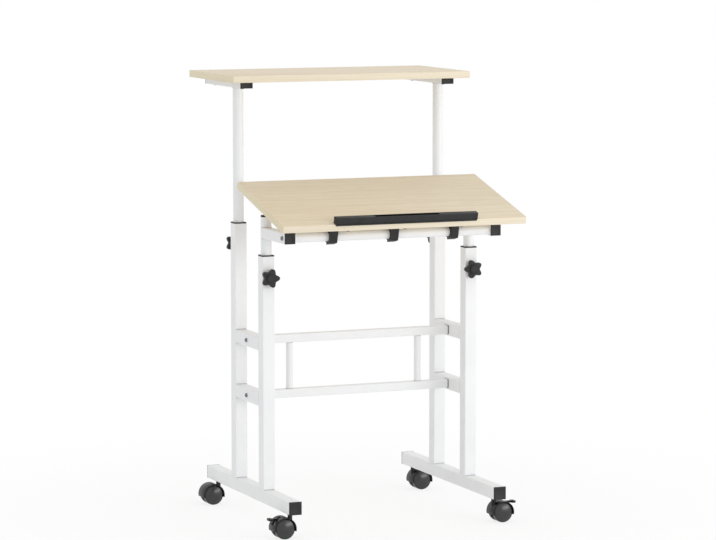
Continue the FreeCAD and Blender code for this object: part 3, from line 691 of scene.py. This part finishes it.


# bolts

bolt = {
    "head": 5 * mm, "height": 3.5 * mm, "dome": 2 * mm, "socket": 2.3 * mm, "socketDepth": 2.2 * mm,
    "shank": 3 * mm,
    "shankEnd": 0.8,  # where the shank ends, as a share of the way from the desk's middle to the head
}
boltHead = newDrum("bolt", "z", (0, 0, bolt["height"] / 2), bolt["head"], bolt["height"], steps=40)
bevelEdges(boltHead, isRim("z", above=bolt["height"] / 2), bolt["dome"], steps=5)
hexagon = newDrum("socket", "z", (0, 0, bolt["height"]), bolt["socket"], 2 * bolt["socketDepth"], steps=6)
cutAway(boltHead, hexagon)
boltSets = {
    "cross_beam_bolts": {"piece": "crossBeamBolts", "body": "base", "through": "side_braces"},
    "tilt_rail_bolts": {"piece": "tiltRailBolts", "body": "desk_carriage", "through": "desk_arm"},
}
for nodeName, boltSet in boltSets.items():
    low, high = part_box(nodeName)
    rows = (low.z + bolt["head"], high.z - bolt["head"])  # for two beams, one above the other
    rows = rows if rows[1] - rows[0] > bolt["head"] else rows[:1]  # or for one rail
    made = []
    for side, sign in sides.items():
        tubeLow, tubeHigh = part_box(f"{side}_{boltSet['through']}")
        faceX = tubeHigh.x if sign > 0 else tubeLow.x
        shankEnd = (high.x if sign > 0 else low.x) * bolt["shankEnd"]
        for row in rows:
            seatAt = Vector((faceX, (low.y + high.y) / 2, row))
            outward = Matrix.Rotation(sign * math.pi / 2, 4, "Y")
            made.append(copyTo(boltHead, Matrix.Translation(seatAt) @ outward))
            shankAt = Vector(((faceX + shankEnd) / 2, seatAt.y, seatAt.z))
            made.append(newDrum("shank", "x", shankAt, bolt["shank"], abs(faceX - shankEnd), steps=24))
    finishPiece(joinAll(boltSet["piece"], made), boltSet["body"], zinc, [nodeName])
discard(boltHead)
print("bolts made")


# weld beads where the legs, braces, rods and shelf tubes meet, painted over; their grey coat is painted shade
# along the joints

weld = {
    "radius": 2.1 * mm, "length": 26 * mm, "cuts": 20, "ripple": 0.25 * mm, "taper": 0.6, "brace": 30 * mm,
    "ring": 1.5 * mm, "ringSteps": 48, "ringSides": 10, "smooth": 60,
}
bead = newDrum("weldBead", "x", (0, 0, 0), weld["radius"], weld["length"], steps=12)
pick(bead, "EDGE", isAlong("x"))
bpy.ops.mesh.subdivide(number_cuts=weld["cuts"])
objectMode()
beadPitch = weld["length"] / (weld["cuts"] + 1)
pick(bead, "VERT", lambda point: round((point.co.x + weld["length"] / 2) / beadPitch) % 2 == 0)
bpy.ops.transform.shrink_fatten(value=-weld["ripple"])
objectMode()
pick(bead, "VERT", lambda point: abs(point.co.x) > (weld["length"] - beadPitch) / 2)  # the two ends
bpy.ops.transform.resize(value=(1, weld["taper"], weld["taper"]), center_override=(0, 0, 0))
objectMode()


def weldRing(radius, centre):  # a bead that runs round a tube's end
    deselectAll()
    bpy.ops.mesh.primitive_torus_add(
        major_radius=radius, minor_radius=weld["ring"], location=centre,
        major_segments=weld["ringSteps"], minor_segments=weld["ringSides"],
    )
    ringBead = applyPlace(bpy.context.object)
    stepAngle = 2 * math.pi / weld["ringSteps"]
    pick(ringBead, "VERT", lambda point: round(
        math.atan2(point.co.y - centre[1], point.co.x - centre[0]) / stepAngle
    ) % 2 == 0)
    bpy.ops.transform.shrink_fatten(value=-weld["ripple"])
    objectMode()
    return ringBead


seams = []
for side in sides:
    braceLow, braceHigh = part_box(f"{side}_side_braces")
    braceEdges = (braceLow.z, braceLow.z + weld["brace"], braceHigh.z - weld["brace"], braceHigh.z)
    for end, way in ends.items():
        low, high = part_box(f"{side}_{end}_leg")
        middleX = (low.x + high.x) / 2
        seams += [(middleX, low.y, low.z), (middleX, high.y, low.z)]
        seams += [(middleX, high.y if way < 0 else low.y, z) for z in braceEdges]
beads = [copyTo(bead, Matrix.Translation(place)) for place in seams]
discard(bead)
low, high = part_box("cross_rods")
rodRadius = (high.y - low.y) / 2
for x in (low.x + rodRadius, high.x - rodRadius):
    for z in (low.z, high.z):
        beads.append(weldRing(rodRadius, (x, low.y + rodRadius, z)))
finishPiece(joinAll("frameWelds", beads), "base", weldShadeCoat, [], weld["smooth"])
beads = []
for side in sides:
    low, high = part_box(f"{side}_rear_tube")
    tubeRadius = (high.x - low.x) / 2
    beads.append(weldRing(tubeRadius, (low.x + tubeRadius, low.y + tubeRadius, high.z)))
shelfWelds = joinAll("shelfTubeWelds", beads)
finishPiece(shelfWelds, "shelf_carriage", weldShadeCoat, [], weld["smooth"])
beads = []
for side in sides:
    low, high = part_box(f"{side}_front_tube")
    armLow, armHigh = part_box(f"{side}_desk_arm")
    tubeRadius = (high.x - low.x) / 2
    for z in (armLow.z, armHigh.z):
        ringBead = weldRing(tubeRadius, (low.x + tubeRadius, low.y + tubeRadius, z))
        pick(ringBead, "FACE", anything)
        # the bead ends where the arm does
        bpy.ops.mesh.bisect(plane_co=armHigh, plane_no=(0, 1, 0), use_fill=True, clear_outer=True)
        objectMode()
        beads.append(ringBead)
deskWelds = joinAll("deskTubeWelds", beads)
finishPiece(deskWelds, "desk_carriage", weldShadeCoat, [], weld["smooth"])
print("welds made")


# casters, modelled once with the stem at the origin and the wheels trailing along +X

caster = {
    "trail": 17.5 * mm, "width": 46 * mm, "web": 14 * mm, "hub": 15 * mm, "wheel": 23.5 * mm,
    "space": 24.3 * mm, "hood": 26.3 * mm, "hoodWidth": 41 * mm, "rim": 18 * mm, "neck": 5.5 * mm,
    "neckTop": 56.3 * mm, "soft": 0.55 * mm, "slotIn": 22 * mm, "slot": 4.3 * mm, "slotFoot": 32 * mm,
    "slotReach": 60 * mm, "stemBore": 4.08 * mm, "stemFoot": 29.2 * mm, "smooth": 40,
}
axleAt = Vector((caster["trail"], 0, caster["wheel"]))


def makeHood(name, hasBrake):
    hood = newDrum(name, "y", axleAt, caster["hood"], caster["hoodWidth"], steps=96)
    pick(hood, "FACE", anything)
    bpy.ops.mesh.bisect(plane_co=(0, 0, caster["rim"]), plane_no=(0, 0, 1), use_fill=True, clear_inner=True)
    objectMode()
    web = newDrum("web", "y", axleAt, caster["hub"], caster["web"], steps=48)
    neckHeight = caster["neckTop"] - caster["wheel"]
    neckAt = (0, 0, caster["wheel"] + neckHeight / 2)
    neck = newDrum("neck", "z", neckAt, caster["neck"], neckHeight, steps=40)
    fuseWith(hood, web, neck)
    for way in (-1, 1):
        spaceAt = axleAt + Vector((0, way * (caster["web"] / 2 + caster["width"] / 2), 0))
        cutAway(hood, newDrum("space", "y", spaceAt, caster["space"], caster["width"], steps=96))
    stemDepth = caster["neckTop"] - caster["stemFoot"]
    stemAt = (0, 0, caster["neckTop"])
    cutAway(hood, newDrum("stem", "z", stemAt, caster["stemBore"], 2 * stemDepth, steps=32))
    if hasBrake:  # a slot that the lever comes out of
        cutAway(hood, newBlock(
            "slot", (caster["slotIn"], -caster["slot"], caster["slotFoot"]),
            (caster["slotReach"], caster["slot"], caster["slotReach"]),
        ))
    return softenEdges(hood, caster["soft"])


tyre = {"inner": 7.4 * mm, "corner": 1.1 * mm, "dome": 6 * mm, "steps": 11, "flat": 0.01 * mm}


def isTreadEdge(edge):  # the round edges at both sides of the tread
    isOutside = all((point.co - axleAt).xz.length > caster["wheel"] * squareOn for point in edge.verts)
    return isOutside and abs(edge.verts[0].co.y - edge.verts[1].co.y) < tyre["flat"]


def makeWheel():  # one wheel with its outer face towards -Y
    width = caster["width"] / 2 - tyre["inner"] - tyre["dome"]
    wheelAt = axleAt - Vector((0, tyre["inner"] + width / 2, 0))
    wheel = newDrum("wheel", "y", wheelAt, caster["wheel"], width, steps=96)
    pick(wheel, "FACE", looksAlong("y", -1))
    rise = 0
    for i in range(1, tyre["steps"] + 1):  # the outer face swells to a dome
        share = 1 - i / (tyre["steps"] + 1)
        height = tyre["dome"] * (1 - share ** 2)
        bpy.ops.mesh.inset(thickness=caster["wheel"] / (tyre["steps"] + 1), depth=height - rise)
        rise = height
    objectMode()
    return bevelEdges(wheel, isTreadEdge, tyre["corner"], steps=3)


lever = {
    "pivotOut": 30 * mm, "pivotUp": 40.5 * mm, "rise": 2.5 * mm, "thick": 4.5 * mm, "width": 8 * mm,
    "paddle": 19 * mm, "reach": 53.5 * mm, "corner": 2.5 * mm, "pin": 2 * mm, "soft": 0.9 * mm,
    "ease": 0.1 * mm, "overlap": 1 * mm, "ribs": 3, "ribPitch": 2 * mm, "rib": (0.8 * mm, 11 * mm, 0.7 * mm),
}


def makeLever():
    out, up, thick, ease = lever["pivotOut"], lever["pivotUp"], lever["thick"], lever["ease"]
    under = up + lever["rise"]
    halfWidth = lever["width"] / 2
    halfPaddle = lever["paddle"] / 2
    paddleIn = lever["reach"] - halfPaddle
    tang = newBlock("lever", (out - thick, -halfWidth, up - thick), (out + thick, halfWidth, under + thick))
    shank = newBlock(
        "shank", (out, ease - halfWidth, under),
        (paddleIn + lever["overlap"], halfWidth - ease, under + thick - ease),
    )
    paddle = newBlock("paddle", (paddleIn, -halfPaddle, under), (lever["reach"], halfPaddle, under + thick))
    bevelEdges(paddle, isAlong("z"), lever["corner"], steps=4)
    pin = newDrum("pin", "y", (out, 0, up), lever["pin"], caster["web"], steps=24)
    fuseWith(tang, shank, paddle)
    softenEdges(tang, lever["soft"], steps=3)
    ribs = [
        newCube("rib", (lever["reach"] - lever["ribPitch"] * (i + 1), 0, under + thick), lever["rib"])
        for i in range(lever["ribs"])
    ]
    return joinAll("lever", [tang, pin, *ribs])


hoods = {"front": makeHood("brakeHood", True), "rear": makeHood("plainHood", False)}
wheelPiece = makeWheel()
leverPiece = makeLever()
turnedRound = Matrix.Translation(axleAt) @ Matrix.Rotation(math.pi, 4, "Z") @ Matrix.Translation(-axleAt)
for side, sign in sides.items():
    outward = Matrix.Rotation(0 if sign > 0 else math.pi, 4, "Z")
    places = {}
    for end in ends:
        name = f"{side}_{end}_caster"
        stem = Vector(joints[name + "_swivel"]["pos_m"])
        place = places[end] = Matrix.Translation((stem.x, stem.y, 0)) @ outward
        label = side + end.title() + "Caster"
        hood = copyTo(hoods[end], place)
        hood.name = label + "Hood"
        finishPiece(hood, name, nylon, [name + "_hood"], caster["smooth"])
        wheels = [copyTo(wheelPiece, place), copyTo(wheelPiece, place @ turnedRound)]
        pair = joinAll(label + "Wheels", wheels)
        finishPiece(pair, name + "_wheels", polished, [name + "_wheels"], caster["smooth"])
    leverName = f"{side}_brake_lever"
    placed = copyTo(leverPiece, places["front"])
    placed.name = side + "BrakeLever"
    finishPiece(placed, leverName, nylon, [leverName], caster["smooth"])
discard(wheelPiece, leverPiece, *hoods.values())
print("casters made")


# floor, light and camera

studio = {
    "floor": 30, "paper": "#fafafa", "paperRoughness": 0.9, "world": 0.82,
    "keyPower": 51, "keySize": (3.2, 1.1), "keyAt": (2.7, -3.7, 1.2), "keyAim": (0, 0, 0.5),
    "whiteShare": 0.8, "shadeFrom": 0.4, "shadeTo": 1.3,  # the floor shades only this near the middle
}


def showWhite(tree, other):
    # camera, glossy and transmission rays see white, the rest see the other shader; the share of white is 1
    # unless the caller links one to the first node that comes back
    rays = addNode(tree, "ShaderNodeLightPath", {})
    seen = addNode(
        tree, "ShaderNodeMath", {"operation": "MAXIMUM"},
        i0=rays.outputs["Is Camera Ray"], i1=rays.outputs["Is Glossy Ray"],
    )
    seen = addNode(
        tree, "ShaderNodeMath", {"operation": "MAXIMUM"},
        i0=seen.outputs["Value"], i1=rays.outputs["Is Transmission Ray"],
    )
    share = addNode(tree, "ShaderNodeMath", {"operation": "MULTIPLY", 1: 1}, i0=seen.outputs["Value"])
    return share, addNode(tree, "ShaderNodeMixShader", {}, i0=share.outputs["Value"], i1=other)


deselectAll()
bpy.ops.mesh.primitive_plane_add(size=studio["floor"], location=(0, 0, 0))
floor = bpy.context.object
floor.name = "studioFloor"
paper, tree, shader = newMaterial("whitePaperFloor")
shader.inputs["Base Color"].default_value = hexToLinear(studio["paper"])
shader.inputs["Roughness"].default_value = studio["paperRoughness"]
glow = addNode(tree, "ShaderNodeEmission", {"Color": (1, 1, 1, 1), "Strength": 1})
share, mixed = showWhite(tree, shader.outputs["BSDF"])
where = addNode(tree, "ShaderNodeTexCoord", {})
reach = addNode(tree, "ShaderNodeVectorMath", {"operation": "LENGTH"}, i0=where.outputs["Object"])
fade = addNode(
    tree, "ShaderNodeMapRange",
    {
        "From Min": studio["shadeFrom"], "From Max": studio["shadeTo"],
        "To Min": studio["whiteShare"], "To Max": 1,
    },
    Value=reach.outputs["Value"],
)
tree.links.new(fade.outputs["Result"], share.inputs[1])
tree.links.new(glow.outputs["Emission"], mixed.inputs[2])
tree.links.new(mixed.outputs["Shader"], tree.nodes["Material Output"].inputs["Surface"])
floor.data.materials.append(paper)

world = bpy.data.worlds.new("studioWorld")
bpy.context.scene.world = world
world.use_nodes = True
tree = world.node_tree
ambient = tree.nodes["Background"]
ambient.inputs["Color"].default_value = (1, 1, 1, 1)
ambient.inputs["Strength"].default_value = studio["world"]
seenWhite = addNode(tree, "ShaderNodeBackground", {"Color": (1, 1, 1, 1), "Strength": 1})
share, mixed = showWhite(tree, ambient.outputs["Background"])
tree.links.new(seenWhite.outputs["Background"], mixed.inputs[2])
tree.links.new(mixed.outputs["Shader"], tree.nodes["World Output"].inputs["Surface"])


def areaLamp(name, place, aim, size, power):
    data = bpy.data.lights.new(name, "AREA")
    data.shape = "RECTANGLE"
    data.size, data.size_y = size
    data.energy = power
    lamp = bpy.data.objects.new(name, data)
    lamp.location = place
    lamp.rotation_euler = (Vector(aim) - Vector(place)).to_track_quat("-Z", "Y").to_euler()
    bpy.context.scene.collection.objects.link(lamp)


areaLamp("keySoftbox", studio["keyAt"], studio["keyAim"], studio["keySize"], studio["keyPower"])

lens = {  # fitted to the photograph; angles in degrees, focal length and sensor in millimetres
    "place": (-2.96013, -7.1343, 1.44012), "yaw": 22.581, "pitch": 6.3637, "focal": 166.426, "sensor": 36,
    "farthest": 100,
}
cameraData = bpy.data.cameras.new("deskCamera")
cameraData.sensor_width = lens["sensor"]
cameraData.lens = lens["focal"]
cameraData.clip_end = lens["farthest"]
camera = bpy.data.objects.new("deskCamera", cameraData)
camera.location = lens["place"]
camera.rotation_euler = (math.radians(90 - lens["pitch"]), 0, math.radians(-lens["yaw"]))
bpy.context.scene.collection.objects.link(camera)
bpy.context.scene.camera = camera
bpy.context.scene.view_settings.view_transform = "Standard"
print("stage made")
